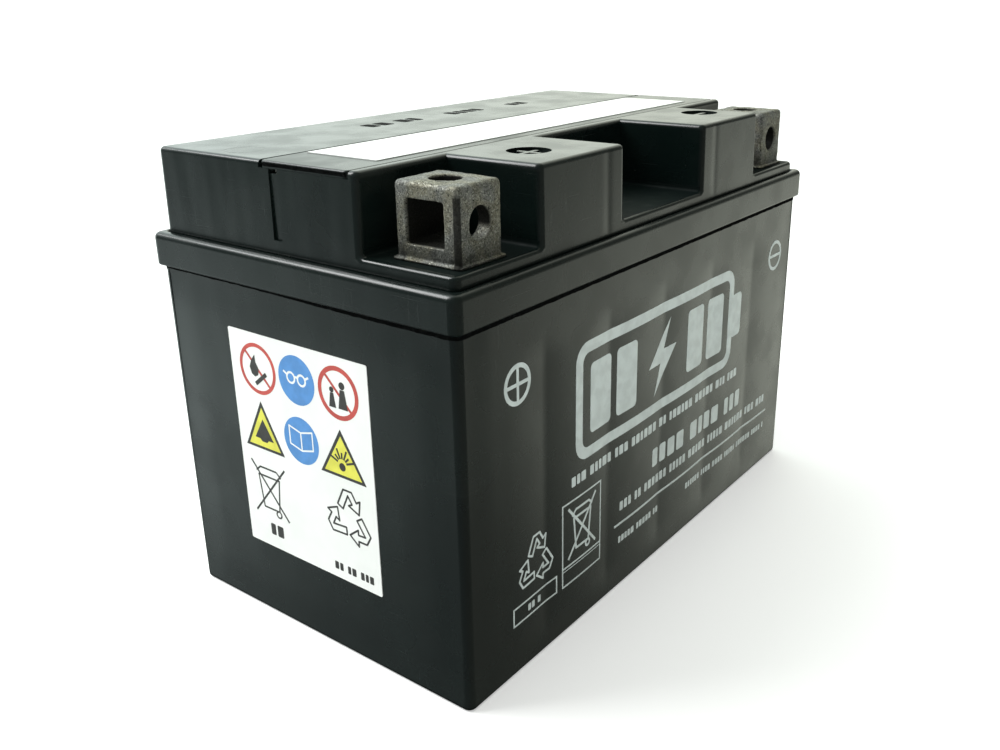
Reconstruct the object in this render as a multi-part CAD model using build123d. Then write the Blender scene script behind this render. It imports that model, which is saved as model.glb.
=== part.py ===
"""Sealed six-cell motorcycle battery, 12 V, with a long seal strip over the filler wells.

Millimetres. +X runs along the long side, -Y is the printed front face, +Z is up.
The origin is the centre of the flat underside. The positive terminal stands at -X, -Y.
"""
from build123d import *
import os

# ---- driving dimensions ----------------------------------------------------
LENGTH = 150.0
WIDTH = 87.0
HEIGHT = 105.0
CELLS = 6

# container
BODY_LENGTH = 147.4
BODY_WIDTH = 84.9
BODY_CORNER = 1.8
BOTTOM_FILLET = 1.0
WALL = 2.5
PARTITION = 1.5
RIM_BOTTOM = 79.5
RIM_TOP = 86.8
RIM_CORNER = 2.0
RIM_FILLET = 1.3
MOUTH_FILLET = 0.4
LEDGE = 84.0
COLLAR_GAP = 0.3

# lid
LID_LENGTH = 144.6
LID_WIDTH = 82.8
LID_CORNER = 1.6
LID_DRAFT = 0.8
LID_WALL = 2.4
RECESS_FLOOR = 89.2
RECESS_BACK = -18.5
BLOCK_INNER = 17.5
BLOCK_OUTER = 47.4
TOP_EDGE = 1.0
BLOCK_EDGE = 1.3
RECESS_EDGE = 0.8
MARK_RADIUS = 4.6
MARK_DEPTH = 0.9
MARK_LEFT = (-35.0, -29.4)
MARK_RIGHT = (39.5, -28.6)
MARK_BAR = 5.6
MARK_BAR_WIDTH = 1.1

# seal strip, its channel in the lid and the gas gallery under it
STRIP_THICK = 1.5
STRIP_FRONT = -16.2
STRIP_REAR = 8.0
STRIP_GAP = 0.3
GALLERY_FLOOR = 97.5
GALLERY_FRONT = -14.9
GALLERY_REAR = 7.0
GALLERY_END = 69.3
WELL_Y = -6.8
WELL_RADIUS = 5.6
WELL_OUTER = 7.2
WELL_BOTTOM = 90.0
PLUG_GAP = 0.1
PLUG_BOTTOM = 92.5
PLUG_WALL = 1.2
VALVE_Y = 4.0
NIPPLE_RADIUS = 2.1
NIPPLE_BORE = 0.8
NIPPLE_TOP = 99.7
VALVE_RADIUS = 2.9
VALVE_INNER = 2.2
VALVE_BOTTOM = 97.9
VALVE_TOP = 100.9
SLOT_LOW = (2.9, 89.5)
SLOT_WIDTH = 2.5
SLOT_DEPTH = 0.6
NOTCH_FLOOR = 102.6
FILTER_THICK = 1.0

# labels
LABEL_THICK = 0.15
STRIP_LABEL = (122.0, 19.6)
STRIP_LABEL_Y = -3.1
END_LABEL = (41.3, 50.8)
END_LABEL_CENTRE = (0.9, 43.7)
END_LABEL_CORNER = 0.4

# terminals
TERM_X = 62.0
TERM_Y = -31.35
TERM_SIZE = (12.3, 15.1)
TERM_TOP = 103.8
TERM_EDGE = 1.0
FOOT_MARGIN = 0.7
FOOT_THICK = 0.5
TUNNEL_Y = -31.0
TUNNEL_WIDTH = 9.0
TUNNEL_LOW = 92.4
TUNNEL_HIGH = 100.7
BOLT_RADIUS = 3.15
POST_RADIUS = 4.0
BUSH_RADIUS = 5.5
BUSH_FLANGE = 6.8
POST_CLEARANCE = 0.05
SEAL_THICK = 1.5

# plate groups
POSITIVE_THICK = 2.0
NEGATIVE_THICK = 1.4
MAT_THICK = 0.9
POSITIVE_COUNT = 4
PLATE_WIDTH = 77.0
PLATE_BOTTOM = 4.4
PLATE_TOP = 70.0
MAT_WIDTH = 79.0
MAT_BOTTOM = 2.8
MAT_TOP = 72.0
LUG_Y = 28.0
LUG_WIDTH = 9.0
STRAP_BOTTOM = 75.5
STRAP_TOP = 79.0
STRAP_WIDTH = 15.0
STRAP_LENGTH = 19.6
TOMBSTONE_TOP = 83.6
TOMBSTONE_THICK = 3.0
WELD_RADIUS = 3.0
WELD_Z = 79.6

# ---- values that follow ----------------------------------------------------
INNER_LENGTH = BODY_LENGTH - 2 * WALL
INNER_WIDTH = BODY_WIDTH - 2 * WALL
CELL_WIDTH = (INNER_LENGTH - (CELLS - 1) * PARTITION) / CELLS
PITCH = CELL_WIDTH + PARTITION
CELL_X = [(i - (CELLS - 1) / 2) * PITCH for i in range(CELLS)]
WALL_X = [(i - (CELLS - 2) / 2) * PITCH for i in range(CELLS - 1)]
STRIP_BOTTOM = HEIGHT - STRIP_THICK
STRIP_LENGTH = LID_LENGTH - 0.8
STACK = POSITIVE_COUNT * (POSITIVE_THICK + NEGATIVE_THICK + 2 * MAT_THICK) + NEGATIVE_THICK


def block(x0, x1, y0, y1, z0, z1):
    """Box between two opposite corners."""
    centre = Pos((x0 + x1) / 2, (y0 + y1) / 2, (z0 + z1) / 2)
    return centre * Box(x1 - x0, y1 - y0, z1 - z0)


def rod(x, y, z0, z1, radius):
    """Upright cylinder from z0 to z1."""
    return Pos(x, y, (z0 + z1) / 2) * Cylinder(radius, z1 - z0)


def rounded_prism(length, width, corner, z0, z1, taper=0.0):
    """Upright prism with rounded corners, centred on the Z axis."""
    section = Pos(0, 0, z0) * RectangleRounded(length, width, corner)
    return extrude(section, amount=z1 - z0, taper=taper)


def edges_at(part, z, tolerance=0.01):
    """Edges that lie level at one height."""
    low = part.edges().filter_by_position(Axis.Z, z - tolerance, z + tolerance)
    return low.filter_by(lambda e: abs(e.bounding_box().size.Z) < tolerance)


# ---- container -------------------------------------------------------------
def make_container():
    """Open box with five cell walls and a thicker collar round its mouth."""
    body = rounded_prism(BODY_LENGTH, BODY_WIDTH, BODY_CORNER, 0, RIM_TOP - 1)
    body = fillet(edges_at(body, 0), BOTTOM_FILLET)
    rim = rounded_prism(LENGTH, WIDTH, RIM_CORNER, RIM_BOTTOM, RIM_TOP)
    rim = fillet(edges_at(rim, RIM_TOP), RIM_FILLET)
    shell = body + rim
    mouth_length = LID_LENGTH + 2 * COLLAR_GAP
    mouth_width = LID_WIDTH + 2 * COLLAR_GAP
    shell -= rounded_prism(mouth_length, mouth_width, LID_CORNER, LEDGE, RIM_TOP + 1)
    mouth = edges_at(shell, RIM_TOP).filter_by(lambda e: abs((e @ 0.5).X) < mouth_length / 2 + 0.1)
    mouth = mouth.filter_by(lambda e: abs((e @ 0.5).Y) < mouth_width / 2 + 0.1)
    shell = fillet(mouth, MOUTH_FILLET)
    for x in CELL_X:
        half = CELL_WIDTH / 2
        cell = block(x - half, x + half, -INNER_WIDTH / 2, INNER_WIDTH / 2, WALL, LEDGE + 1)
        shell -= fillet(cell.edges().filter_by(Axis.Z), 1.0)
    for index, x in enumerate(WALL_X):
        y = weld_y(index)
        shell -= Pos(x, y, WELD_Z) * Rot(0, 90, 0) * Cylinder(WELD_RADIUS, PARTITION + 1)
    return shell


def weld_y(wall_index):
    """The cell links change sides from wall to wall, starting at the back."""
    return LUG_Y if wall_index % 2 == 0 else -LUG_Y


# ---- lid -------------------------------------------------------------------
def make_lid():
    """Drop-in lid with two terminal corners, a middle recess and the strip channel."""
    lid = rounded_prism(LID_LENGTH, LID_WIDTH, LID_CORNER, LEDGE, HEIGHT, LID_DRAFT)
    far = LID_LENGTH
    front = -LID_WIDTH
    cuts = [(-far, -BLOCK_OUTER), (-BLOCK_INNER, BLOCK_INNER), (BLOCK_OUTER, far)]
    for x0, x1 in cuts:
        lid -= block(x0, x1, front, RECESS_BACK, RECESS_FLOOR, HEIGHT + 1)
    lid = fillet(block_corner_edges(lid), BLOCK_EDGE)
    lid = fillet(edges_at(lid, HEIGHT), TOP_EDGE)
    lid = fillet(outer_recess_edges(lid), RECESS_EDGE)
    lid -= strip_channel()
    lid -= lid_hollows()
    for x in CELL_X:
        lid += rod(x, WELL_Y, WELL_BOTTOM, GALLERY_FLOOR, WELL_OUTER)
        lid -= rod(x, WELL_Y, WELL_BOTTOM - 1, GALLERY_FLOOR + 1, WELL_RADIUS)
        lid += rod(x, VALVE_Y, GALLERY_FLOOR - 0.5, NIPPLE_TOP, NIPPLE_RADIUS)
        lid -= rod(x, VALVE_Y, GALLERY_FLOOR - LID_WALL - 1, NIPPLE_TOP + 1, NIPPLE_BORE)
    for side in (-1, 1):
        lid -= rod(side * TERM_X, TERM_Y, LEDGE, RECESS_FLOOR + 1, BUSH_RADIUS + POST_CLEARANCE)
        lid -= end_slot(side)
    lid = cut_polarity_mark(lid, MARK_LEFT, plus=True)
    lid = cut_polarity_mark(lid, MARK_RIGHT, plus=False)
    return lid


def block_corner_edges(lid):
    """The tall outer corners beside the recesses: four on the blocks, two on the ends."""
    found = []
    for edge in lid.edges():
        box = edge.bounding_box()
        tall = box.size.Z > (HEIGHT - RECESS_FLOOR) / 2
        on_block = box.max.Y < -LID_WIDTH / 2 + 1 and abs(box.min.X) < BLOCK_OUTER + 1
        on_end = abs(box.max.Y - RECESS_BACK) < 0.1 and abs(box.min.X) > LID_LENGTH / 2 - 1
        if tall and (on_block or on_end):
            found.append(edge)
    return ShapeList(found)


def outer_recess_edges(lid):
    """The low outer edges of the three recess floors."""
    level = edges_at(lid, RECESS_FLOOR)
    outer = []
    for edge in level:
        middle = edge @ 0.5
        on_front = middle.Y < -LID_WIDTH / 2 + 3.5
        on_end = abs(middle.X) > LID_LENGTH / 2 - 3.5
        if on_front or on_end:
            outer.append(edge)
    return ShapeList(outer)


def strip_channel():
    """Seat for the strip, open at both ends, with the gas gallery sunk in its floor."""
    front = STRIP_FRONT - STRIP_GAP
    rear = STRIP_REAR + STRIP_GAP
    end = GALLERY_END
    seat = block(-LENGTH, LENGTH, front, rear, STRIP_BOTTOM, HEIGHT + 1)
    gallery = block(-end, end, GALLERY_FRONT, GALLERY_REAR, GALLERY_FLOOR, STRIP_BOTTOM + 1)
    return seat + fillet(gallery.edges().filter_by(Axis.Z), 1.0)


def lid_hollows():
    """Space under the lid, one set per cell, so that the ribs between meet the cell walls."""
    end = LID_LENGTH / 2 - LID_WALL
    side = LID_WIDTH / 2 - LID_WALL
    low = LEDGE - 1
    hollows = Part()
    for x in CELL_X:
        x0 = max(x - CELL_WIDTH / 2, -end)
        x1 = min(x + CELL_WIDTH / 2, end)
        hollows += block(x0, x1, -side, side, low, RECESS_FLOOR - LID_WALL)
        hollows += block(x0, x1, RECESS_BACK + LID_WALL, STRIP_REAR, low, GALLERY_FLOOR - LID_WALL)
        rear = STRIP_REAR + STRIP_GAP + LID_WALL
        hollows += block(x0, x1, rear, side, low, HEIGHT - LID_WALL)
    for sign in (-1, 1):
        x0, x1 = sorted((sign * (PITCH + PARTITION / 2), sign * (BLOCK_OUTER - LID_WALL)))
        hollows += block(x0, x1, -side, RECESS_BACK - LID_WALL, low, HEIGHT - LID_WALL)
    return hollows


def end_slot(side):
    """Gas slot down one end face, with a notch through the wall into the gallery."""
    y0, z0 = SLOT_LOW
    face = LID_LENGTH / 2
    outer = sorted((side * (face - SLOT_DEPTH), side * (face + 1)))
    slot = block(*outer, y0, y0 + SLOT_WIDTH, z0, STRIP_BOTTOM + 1)
    through = sorted((side * (GALLERY_END - 1), side * (face + 1)))
    return slot + block(*through, y0, y0 + SLOT_WIDTH, NOTCH_FLOOR, STRIP_BOTTOM + 1)


def cut_polarity_mark(lid, centre, plus):
    """Shallow round pocket with a raised plus or minus bar left standing in it."""
    x, y = centre
    pocket = rod(x, y, HEIGHT - MARK_DEPTH, HEIGHT + 1, MARK_RADIUS)
    half, thin = MARK_BAR / 2, MARK_BAR_WIDTH / 2
    top = HEIGHT - MARK_DEPTH / 3
    pocket -= block(x - half, x + half, y - thin, y + thin, HEIGHT - MARK_DEPTH, top)
    if plus:
        pocket -= block(x - thin, x + thin, y - half, y + half, HEIGHT - MARK_DEPTH, top)
    return lid - pocket


# ---- seal strip ------------------------------------------------------------
def make_seal_strip():
    """Flat strip with six hollow plugs that close the filler wells."""
    half = STRIP_LENGTH / 2
    strip = block(-half, half, STRIP_FRONT, STRIP_REAR, STRIP_BOTTOM, HEIGHT)
    strip = fillet(strip.edges().filter_by(Axis.Z), 1.2)
    strip = fillet(edges_at(strip, HEIGHT), 0.5)
    radius = WELL_RADIUS - PLUG_GAP
    for x in CELL_X:
        plug = rod(x, WELL_Y, PLUG_BOTTOM, STRIP_BOTTOM + 0.2, radius)
        plug = chamfer(edges_at(plug, PLUG_BOTTOM), 0.4)
        strip += plug
        strip -= rod(x, WELL_Y, PLUG_BOTTOM - 1, STRIP_BOTTOM, radius - PLUG_WALL)
    return strip


def make_strip_label():
    length, width = STRIP_LABEL
    middle = Pos(0, STRIP_LABEL_Y, HEIGHT + LABEL_THICK / 2)
    return middle * Box(length, width, LABEL_THICK)


def make_end_label():
    width, height = END_LABEL
    y, z = END_LABEL_CENTRE
    plane = Plane(origin=(-BODY_LENGTH / 2, y, z), x_dir=(0, -1, 0), z_dir=(-1, 0, 0))
    return extrude(plane * RectangleRounded(width, height, END_LABEL_CORNER), amount=LABEL_THICK)


# ---- gas valves and vent filters --------------------------------------------
def make_valve(x):
    """Rubber cap that sits over a vent nipple."""
    cap = rod(x, VALVE_Y, VALVE_BOTTOM, VALVE_TOP, VALVE_RADIUS)
    cap = fillet(edges_at(cap, VALVE_TOP), 0.4)
    return cap - rod(x, VALVE_Y, VALVE_BOTTOM - 1, NIPPLE_TOP, VALVE_INNER)


def make_vent_filter(side):
    """Porous block that fills the notch through one end wall."""
    y0 = SLOT_LOW[0]
    inner = side * GALLERY_END
    outer = side * (GALLERY_END + FILTER_THICK)
    x0, x1 = sorted((inner, outer))
    return block(x0, x1, y0, y0 + SLOT_WIDTH, NOTCH_FLOOR, STRIP_BOTTOM - 0.1)


# ---- terminals -------------------------------------------------------------
def make_terminal(side):
    """Cast lead block with a square nut tunnel, two bolt holes and a round post below."""
    x = side * TERM_X
    length, width = TERM_SIZE
    cube = Pos(x, TERM_Y, (RECESS_FLOOR + TERM_TOP) / 2) * Box(length, width, TERM_TOP - RECESS_FLOOR)
    cube = fillet(cube.edges().filter_by(Axis.Z), TERM_EDGE)
    cube = fillet(edges_at(cube, TERM_TOP), TERM_EDGE)
    foot = RectangleRounded(length + 2 * FOOT_MARGIN, width + 2 * FOOT_MARGIN, TERM_EDGE)
    cube += extrude(Pos(x, TERM_Y, RECESS_FLOOR) * foot, amount=FOOT_THICK)
    y0 = TUNNEL_Y - TUNNEL_WIDTH / 2
    y1 = TUNNEL_Y + TUNNEL_WIDTH / 2
    cube -= block(x - length, x + length, y0, y1, TUNNEL_LOW, TUNNEL_HIGH)
    cube -= rod(x, TUNNEL_Y, TUNNEL_HIGH - 1, TERM_TOP + 1, BOLT_RADIUS)
    front = TERM_Y - width / 2
    middle = (TUNNEL_LOW + TUNNEL_HIGH) / 2
    hole = Pos(x, (front + TUNNEL_Y) / 2, middle) * Rot(90, 0, 0)
    cube -= hole * Cylinder(BOLT_RADIUS, TUNNEL_Y - front + 2)
    return cube + rod(x, TERM_Y, STRAP_TOP, RECESS_FLOOR + 0.2, POST_RADIUS)


def make_bush(side):
    """Lead ring moulded into the lid floor, with a flange under it."""
    x = side * TERM_X
    floor = RECESS_FLOOR - LID_WALL
    ring = rod(x, TERM_Y, floor, RECESS_FLOOR, BUSH_RADIUS)
    ring += rod(x, TERM_Y, floor - 1.0, floor, BUSH_FLANGE)
    return ring - rod(x, TERM_Y, floor - 2, RECESS_FLOOR + 1, POST_RADIUS + POST_CLEARANCE)


def make_post_seal(side):
    """Resin ring that seals the post under its bush."""
    x = side * TERM_X
    top = RECESS_FLOOR - LID_WALL - 1.0
    ring = rod(x, TERM_Y, top - SEAL_THICK, top, BUSH_FLANGE - 0.4)
    return ring - rod(x, TERM_Y, top - SEAL_THICK - 1, top + 1, POST_RADIUS + POST_CLEARANCE)


# ---- cell contents ---------------------------------------------------------
def positive_side(cell_index):
    """Sign of Y for a cell's positive lugs: front in the first cell, then turn about."""
    return -1 if cell_index % 2 == 0 else 1


def plate_centres(x):
    """X of the positive and the negative plates of the cell centred at x."""
    step = POSITIVE_THICK + NEGATIVE_THICK + 2 * MAT_THICK
    first = x - STACK / 2 + NEGATIVE_THICK / 2
    negative = [first + i * step for i in range(POSITIVE_COUNT + 1)]
    positive = [value + step / 2 for value in negative[:-1]]
    return positive, negative


def make_plates(centres, thick, side):
    """Group of pasted plates, each with a lug up to the strap."""
    plates = []
    for x in centres:
        half = thick / 2
        width = PLATE_WIDTH / 2
        plate = block(x - half, x + half, -width, width, PLATE_BOTTOM, PLATE_TOP)
        lug_y = side * LUG_Y
        y0 = lug_y - LUG_WIDTH / 2
        lug = block(x - half, x + half, y0, y0 + LUG_WIDTH, PLATE_TOP, STRAP_BOTTOM)
        plates.append(plate + lug)
    return Compound(children=[p.solid() for p in plates])


def make_separators(centres):
    """Glass mats, each folded round the bottom of one positive plate."""
    mats = []
    width = MAT_WIDTH / 2
    for x in centres:
        outer = POSITIVE_THICK / 2 + MAT_THICK
        inner = POSITIVE_THICK / 2
        mat = block(x - outer, x + outer, -width, width, MAT_BOTTOM, MAT_TOP)
        mat -= block(x - inner, x + inner, -width - 1, width + 1, PLATE_BOTTOM, MAT_TOP + 1)
        mats.append(mat.solid())
    return Compound(children=mats)


def make_strap(x, side, wall_x=None):
    """Cast strap over a row of lugs, with an upright that is welded through a cell wall."""
    y = side * LUG_Y
    half = STRAP_LENGTH / 2
    y0 = y - STRAP_WIDTH / 2
    y1 = y + STRAP_WIDTH / 2
    strap = block(x - half, x + half, y0, y1, STRAP_BOTTOM, STRAP_TOP)
    strap = fillet(strap.edges().filter_by(Axis.Z), 1.0)
    if wall_x is None:
        return strap
    towards = 1 if wall_x > x else -1
    face = wall_x - towards * PARTITION / 2
    x0, x1 = sorted((face - towards * TOMBSTONE_THICK, face))
    strap += block(x0, x1, y - 5, y + 5, STRAP_BOTTOM, TOMBSTONE_TOP)
    nub = Pos((face + wall_x) / 2, y, WELD_Z) * Rot(0, 90, 0)
    return strap + nub * Cylinder(WELD_RADIUS, PARTITION / 2)


def make_cells():
    """All plate groups, mats and straps by node name."""
    nodes = {}
    for index, x in enumerate(CELL_X):
        number = index + 1
        side = positive_side(index)
        positive, negative = plate_centres(x)
        nodes[f"positive_plates_{number}"] = make_plates(positive, POSITIVE_THICK, side)
        nodes[f"negative_plates_{number}"] = make_plates(negative, NEGATIVE_THICK, -side)
        nodes[f"separator_mats_{number}"] = make_separators(positive)
        wall_before = WALL_X[index - 1] if index > 0 else None
        wall_after = WALL_X[index] if index < CELLS - 1 else None
        nodes[f"positive_strap_{number}"] = make_strap(x, side, wall_before)
        nodes[f"negative_strap_{number}"] = make_strap(x, -side, wall_after)
    return nodes


# ---- write the pieces ------------------------------------------------------
def make_all():
    nodes = {
        "container": make_container(),
        "lid": make_lid(),
        "seal_strip": make_seal_strip(),
        "strip_label": make_strip_label(),
        "end_label": make_end_label(),
    }
    for name, side in (("positive", -1), ("negative", 1)):
        nodes[f"terminal_{name}"] = make_terminal(side)
        nodes[f"terminal_bush_{name}"] = make_bush(side)
        nodes[f"post_seal_{name}"] = make_post_seal(side)
        nodes[f"vent_filter_{name}_end"] = make_vent_filter(side)
    for index, x in enumerate(CELL_X):
        nodes[f"safety_valve_{index + 1}"] = make_valve(x)
    nodes.update(make_cells())
    return nodes


os.makedirs("parts", exist_ok=True)
for node, shape in make_all().items():
    export_step(shape, f"parts/{node}.step")
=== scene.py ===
"""Looks for the sealed motorcycle battery: materials, print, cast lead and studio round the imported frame.

Lengths are named in millimetres and turned into metres by MM on the way into Blender.
"""
import math
import random

import bpy
import bmesh
from mathutils import Matrix, Vector, noise
from mathutils.geometry import delaunay_2d_cdt


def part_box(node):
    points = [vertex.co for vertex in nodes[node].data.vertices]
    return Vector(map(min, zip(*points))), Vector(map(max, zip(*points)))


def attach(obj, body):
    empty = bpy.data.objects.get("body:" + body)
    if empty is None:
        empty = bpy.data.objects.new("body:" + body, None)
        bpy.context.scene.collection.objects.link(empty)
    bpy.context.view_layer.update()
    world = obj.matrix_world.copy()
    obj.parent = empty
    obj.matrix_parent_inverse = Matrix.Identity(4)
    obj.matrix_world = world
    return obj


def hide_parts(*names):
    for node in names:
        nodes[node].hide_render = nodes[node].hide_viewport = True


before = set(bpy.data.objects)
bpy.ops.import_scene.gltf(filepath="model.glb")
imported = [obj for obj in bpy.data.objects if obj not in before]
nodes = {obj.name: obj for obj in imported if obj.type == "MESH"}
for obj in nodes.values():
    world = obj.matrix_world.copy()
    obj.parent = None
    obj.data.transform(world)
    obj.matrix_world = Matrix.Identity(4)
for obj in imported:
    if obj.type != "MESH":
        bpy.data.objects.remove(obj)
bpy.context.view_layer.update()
scene = bpy.context.scene

MM = 0.001
CELLS = 6


def span(node):
    """Lowest and highest corner of a CAD node, in millimetres."""
    low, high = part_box(node)
    return low / MM, high / MM


CASE_LOW, CASE_HIGH = span("container")
LID_LOW, LID_HIGH = span("lid")
LABEL_LOW, LABEL_HIGH = span("end_label")
STRIP_LOW, STRIP_HIGH = span("seal_strip")

RIM_STEP = 1.05                     # how far the collar stands out in front of the body below it
PITCH = 23.983                      # from one cell wall to the next
BODY_FRONT = CASE_LOW.y + RIM_STEP
TUNNEL = Vector((62.0, -31.0, 96.5))  # middle of the square nut tunnels through the terminals


# ---- node trees ----
class Tree:
    """Node arithmetic that the materials and the sky share."""

    def __init__(self, owner):
        owner.use_nodes = True
        self.tree = owner.node_tree

    def node(self, kind, **settings):
        made = self.tree.nodes.new(kind)
        for key, value in settings.items():
            setattr(made, key, value)
        return made

    def feed(self, socket, value):
        if isinstance(value, bpy.types.NodeSocket):
            self.tree.links.new(value, socket)
        else:
            socket.default_value = value

    def math(self, operation, *values):
        made = self.node("ShaderNodeMath", operation=operation)
        for socket, value in zip(made.inputs, values):
            self.feed(socket, value)
        return made.outputs[0]

    def add(self, *terms):
        total = terms[0]
        for term in terms[1:]:
            total = self.math("ADD", total, term)
        return total

    def times(self, *factors):
        product = factors[0]
        for factor in factors[1:]:
            product = self.math("MULTIPLY", product, factor)
        return product

    def less(self, value, other):
        return self.math("SUBTRACT", value, other)

    def most(self, *values):
        return self.math("MAXIMUM", *values)

    def size(self, value):
        return self.math("ABSOLUTE", value)

    def radius(self, a, b):
        return self.math("SQRT", self.add(self.times(a, a), self.times(b, b)))

    def ramp(self, value, low, high, out_low=0.0, out_high=1.0):
        """Smooth step of a value from out_low at low to out_high at high."""
        made = self.node("ShaderNodeMapRange", interpolation_type="SMOOTHSTEP")
        for name, given in (("Value", value), ("From Min", low), ("From Max", high),
                            ("To Min", out_low), ("To Max", out_high)):
            self.feed(made.inputs[name], given)
        return made.outputs[0]

    @staticmethod
    def opaque(colour):
        return colour if isinstance(colour, bpy.types.NodeSocket) else (*colour, 1.0)

    def mix(self, factor, first, second):
        made = self.node("ShaderNodeMix", data_type="RGBA")
        self.feed(made.inputs[0], factor)
        for socket, colour in ((made.inputs[6], first), (made.inputs[7], second)):
            self.feed(socket, self.opaque(colour))
        return made.outputs[2]

    def split(self, vector):
        made = self.node("ShaderNodeSeparateXYZ")
        self.feed(made.inputs[0], vector)
        return made.outputs


class Shader(Tree):
    """The node tree of one procedural material, with its lengths in millimetres."""

    def __init__(self, name, ior=1.45, metallic=0.0, specular=0.5):
        self.material = bpy.data.materials.new(name)
        super().__init__(self.material)
        self.bsdf = self.tree.nodes["Principled BSDF"]
        self.put("IOR", ior)
        self.put("Metallic", metallic)
        self.put("Specular IOR Level", specular)
        scaled = self.node("ShaderNodeVectorMath", operation="SCALE")
        self.feed(scaled.inputs[0], self.node("ShaderNodeTexCoord").outputs["Object"])
        scaled.inputs["Scale"].default_value = 1 / MM
        self.place = scaled.outputs[0]
        self.x, self.y, self.z = self.split(self.place)

    def put(self, name, value):
        """Sets or links an input of the surface shader."""
        self.feed(self.bsdf.inputs[name], value)

    def texture(self, kind, per_mm, stretch, seed):
        """A texture node at its own scale and place."""
        moved = self.node("ShaderNodeMapping")
        self.feed(moved.inputs["Vector"], self.place)
        moved.inputs["Scale"].default_value = [per_mm * s for s in stretch]
        moved.inputs["Location"].default_value = (seed * 3.7, seed * 1.9, seed * 5.3)
        made = self.node("ShaderNodeTex" + kind)
        self.feed(made.inputs["Vector"], moved.outputs[0])
        made.inputs["Scale"].default_value = 1.0
        return made

    def noise(self, per_mm, detail=2.0, stretch=(1, 1, 1), seed=0.0, rough=0.5):
        made = self.texture("Noise", per_mm, stretch, seed)
        made.inputs["Detail"].default_value = detail
        made.inputs["Roughness"].default_value = rough
        return made.outputs[0]

    def cells(self, per_mm, seed):
        return self.texture("Voronoi", per_mm, (1, 1, 1), seed).outputs

    def channels(self, colour):
        made = self.node("ShaderNodeSeparateColor")
        self.feed(made.inputs[0], colour)
        return made.outputs

    def specks(self, per_mm, radius, share, seed):
        """Small dots, one in a share of the cells of a net."""
        found = self.cells(per_mm, seed)
        dot = self.ramp(found["Distance"], radius * per_mm, radius * per_mm * 0.5)
        return self.times(dot, self.math("LESS_THAN", self.channels(found["Color"])[0], share))

    def bell(self, value, centre, width):
        """One smooth hill over a value, of height 1."""
        away = self.math("DIVIDE", self.math("SUBTRACT", value, centre), width)
        return self.math("EXPONENT", self.times(away, away, -1.0))

    def within(self, value, low, high, soft):
        """1 between two limits, falling to 0 over a soft width outside them."""
        up = self.ramp(value, low - soft, low)
        return self.times(up, self.ramp(value, high, high + soft, 1.0, 0.0))

    def facing(self, axis):
        """How far the surface faces along one axis, from -1 to 1."""
        return self.split(self.node("ShaderNodeNewGeometry").outputs["True Normal"])[axis]

    def colour(self, value):
        self.put("Base Color", self.opaque(value))

    def roughness(self, value):
        self.put("Roughness", value)

    def glow(self, strength):
        """Even white light of its own."""
        self.put("Emission Color", (1.0, 1.0, 1.0, 1.0))
        self.put("Emission Strength", strength)

    def relief(self, height):
        """Bump of a height in millimetres."""
        bump = self.node("ShaderNodeBump")
        bump.inputs["Strength"].default_value = 1.0
        bump.inputs["Distance"].default_value = MM
        self.feed(bump.inputs["Height"], height)
        self.put("Normal", bump.outputs[0])


def dress(obj, material):
    """Gives an object one material."""
    obj.data.materials.clear()
    obj.data.materials.append(material)


def placed(name, mesh, material):
    """A new object of the scene, with one material."""
    piece = bpy.data.objects.new(name, mesh)
    scene.collection.objects.link(piece)
    dress(piece, material)
    return piece


# ---- materials ----
def black_plastic(name, seed, gloss=(0.24, 0.32), sinks=None, shade=None):
    """Satin-gloss moulded polypropylene: orange peel, handling scratches, smudges and dust."""
    s = Shader(name, ior=1.49)
    blotch = s.noise(0.05, 3.0, seed=seed)
    base = s.mix(s.ramp(blotch, 0.35, 0.65), (0.0024, 0.0056, 0.0050), (0.0042, 0.0080, 0.0070))
    scratch = s.ramp(s.noise(1.0, 1.0, (0.06, 0.06, 5.0), seed + 1), 0.69, 0.73)
    slanted = s.ramp(s.noise(1.0, 1.0, (4.0, 4.0, 0.10), seed + 2), 0.71, 0.75)
    worn = s.times(s.add(scratch, slanted), s.ramp(s.noise(0.07, 1.0, seed=seed + 3), 0.5, 0.65))
    up = s.ramp(s.facing(2), 0.2, 0.9, 0.35, 1.0)
    specks = s.add(s.specks(0.55, 0.10, 0.16, seed + 4), s.specks(1.3, 0.05, 0.14, seed + 5))
    specks = s.times(specks, up, s.ramp(s.noise(0.06, 2.0, seed=seed + 6), 0.44, 0.60))
    base = s.mix(s.times(worn, 0.25), base, (0.05, 0.055, 0.053))
    s.colour(s.mix(s.math("MINIMUM", specks, 1.0), base, (0.16, 0.16, 0.15)))
    smudge = s.ramp(s.noise(0.09, 3.0, seed=seed + 7), 0.30, 0.75)
    rough = s.add(s.ramp(smudge, 0.0, 1.0, gloss[0], gloss[1]), s.times(worn, 0.12), s.times(specks, 0.4))
    peel = s.times(s.noise(1.1, 2.0, seed=seed + 8), 0.006)
    wave = s.times(s.noise(0.07, 1.0, seed=seed + 9), 0.035)
    height = s.add(peel, wave, s.times(worn, -0.004), s.times(specks, 0.02))
    if sinks:
        height = s.add(height, sinks(s))
    # painted shade: where the shade mask is high the plastic reflects less, and on the recess floors turns
    # rougher
    if shade:
        painted_shade = shade(s)
        rough = s.add(rough, s.ramp(painted_shade, 0.62, 0.76, 0.0, 0.36))
        s.put("Specular IOR Level", s.ramp(painted_shade, 0.0, 1.0, 0.5, 0.08))
    s.roughness(rough)
    s.relief(height)
    return s.material


def recess_shade(s):
    """Painted shade in the recesses of the lid, made by turning down the plastic's reflection: full on their
    floors, half as strong up their walls.
    """
    low = s.most(s.within(s.z, 88.9, 90.4, 0.35), s.times(s.within(s.z, 88.9, 103.4, 0.8), 0.6))
    deep = s.times(s.within(s.y, -40.6, -17.0, 0.4), s.ramp(s.size(s.x), 71.2, 70.8))
    return s.times(low, deep, s.ramp(s.noise(0.3, 3.0, seed=41), 0.2, 0.6, 0.75, 1.0))


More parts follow.
